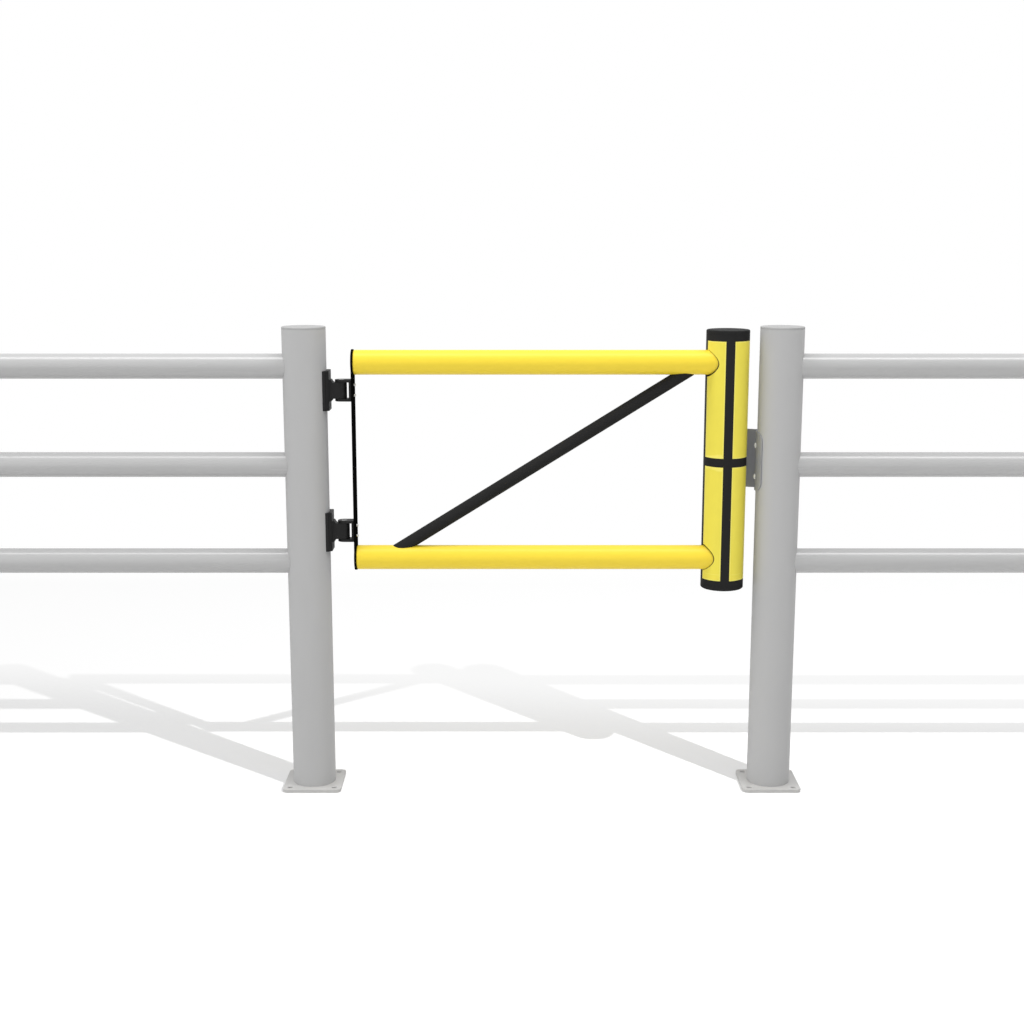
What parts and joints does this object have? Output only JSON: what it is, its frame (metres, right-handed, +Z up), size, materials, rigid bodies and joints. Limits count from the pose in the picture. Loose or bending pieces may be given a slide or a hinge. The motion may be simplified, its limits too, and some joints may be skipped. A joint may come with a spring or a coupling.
{
  "type": "safety railing swing gate",
  "caption": "Braced swing gate leaf on pin hinges between round guard rail posts with fence rails, closing against a stop plate.",
  "frame": {"origin": "centre of the underside of the hinge post's base plate, on the floor", "axes": "+X along the fence from the hinge post towards the latch post, -Y towards the side the leaf opens to, +Z up"},
  "size_m": [4.235, 0.138, 1.1],
  "materials": {
    "post_polymer": "light grey moulded polymer, satin",
    "rail_polymer": "pale grey extruded polymer, satin",
    "base_steel": "grey powder coat on a flat plate",
    "gate_yellow": "bright yellow extruded polymer, satin gloss",
    "panel_yellow": "yellow adhesive marker panel, matt",
    "gate_black": "black polymer, satin",
    "hinge_black": "black powder-coated steel, fine texture",
    "stile_black": "black powder-coated flat steel",
    "fixing_zinc": "bright zinc-plated fixings",
    "stop_steel": "bare galvanised sheet steel, dull"
  },
  "bodies": {
    "fence": {"hinge_post": "post_polymer", "latch_post": "post_polymer", "left_end_post": "post_polymer", "right_end_post": "post_polymer", "hinge_post_cap": "post_polymer", "latch_post_cap": "post_polymer", "left_end_post_cap": "post_polymer", "right_end_post_cap": "post_polymer", "hinge_post_plate": "base_steel", "latch_post_plate": "base_steel", "left_end_post_plate": "base_steel", "right_end_post_plate": "base_steel", "left_rail_top": "rail_polymer", "left_rail_middle": "rail_polymer", "left_rail_bottom": "rail_polymer", "right_rail_top": "rail_polymer", "right_rail_middle": "rail_polymer", "right_rail_bottom": "rail_polymer", "upper_hinge_saddle": "hinge_black", "lower_hinge_saddle": "hinge_black", "upper_saddle_screws": "hinge_black", "lower_saddle_screws": "hinge_black", "stop_plate": "stop_steel", "stop_screws": "fixing_zinc"},
    "gate_leaf": {"gate_rail_top": "gate_yellow", "gate_rail_bottom": "gate_yellow", "gate_brace": "gate_black", "hinge_stile": "stile_black", "leading_tube": "gate_black", "leading_tube_cap_top": "gate_black", "leading_tube_cap_bottom": "gate_black", "panel_upper_front_left": "panel_yellow", "panel_upper_front_right": "panel_yellow", "panel_upper_back_left": "panel_yellow", "panel_upper_back_right": "panel_yellow", "panel_lower_front_left": "panel_yellow", "panel_lower_front_right": "panel_yellow", "panel_lower_back_left": "panel_yellow", "panel_lower_back_right": "panel_yellow", "upper_hinge_fork": "hinge_black", "lower_hinge_fork": "hinge_black", "upper_hinge_pin": "fixing_zinc", "lower_hinge_pin": "fixing_zinc", "upper_fork_bolts": "fixing_zinc", "lower_fork_bolts": "fixing_zinc"}
  },
  "joints": [
    {"name": "gate_swing", "type": "hinge", "parent": "fence", "child": "gate_leaf", "pos_m": [0.0845, 0, 0.78875], "axis": [0, 0, 1], "range_deg": [-90, 0], "stiffness_Nm_per_rad": 3, "springref_deg": 17.19}
  ]
}
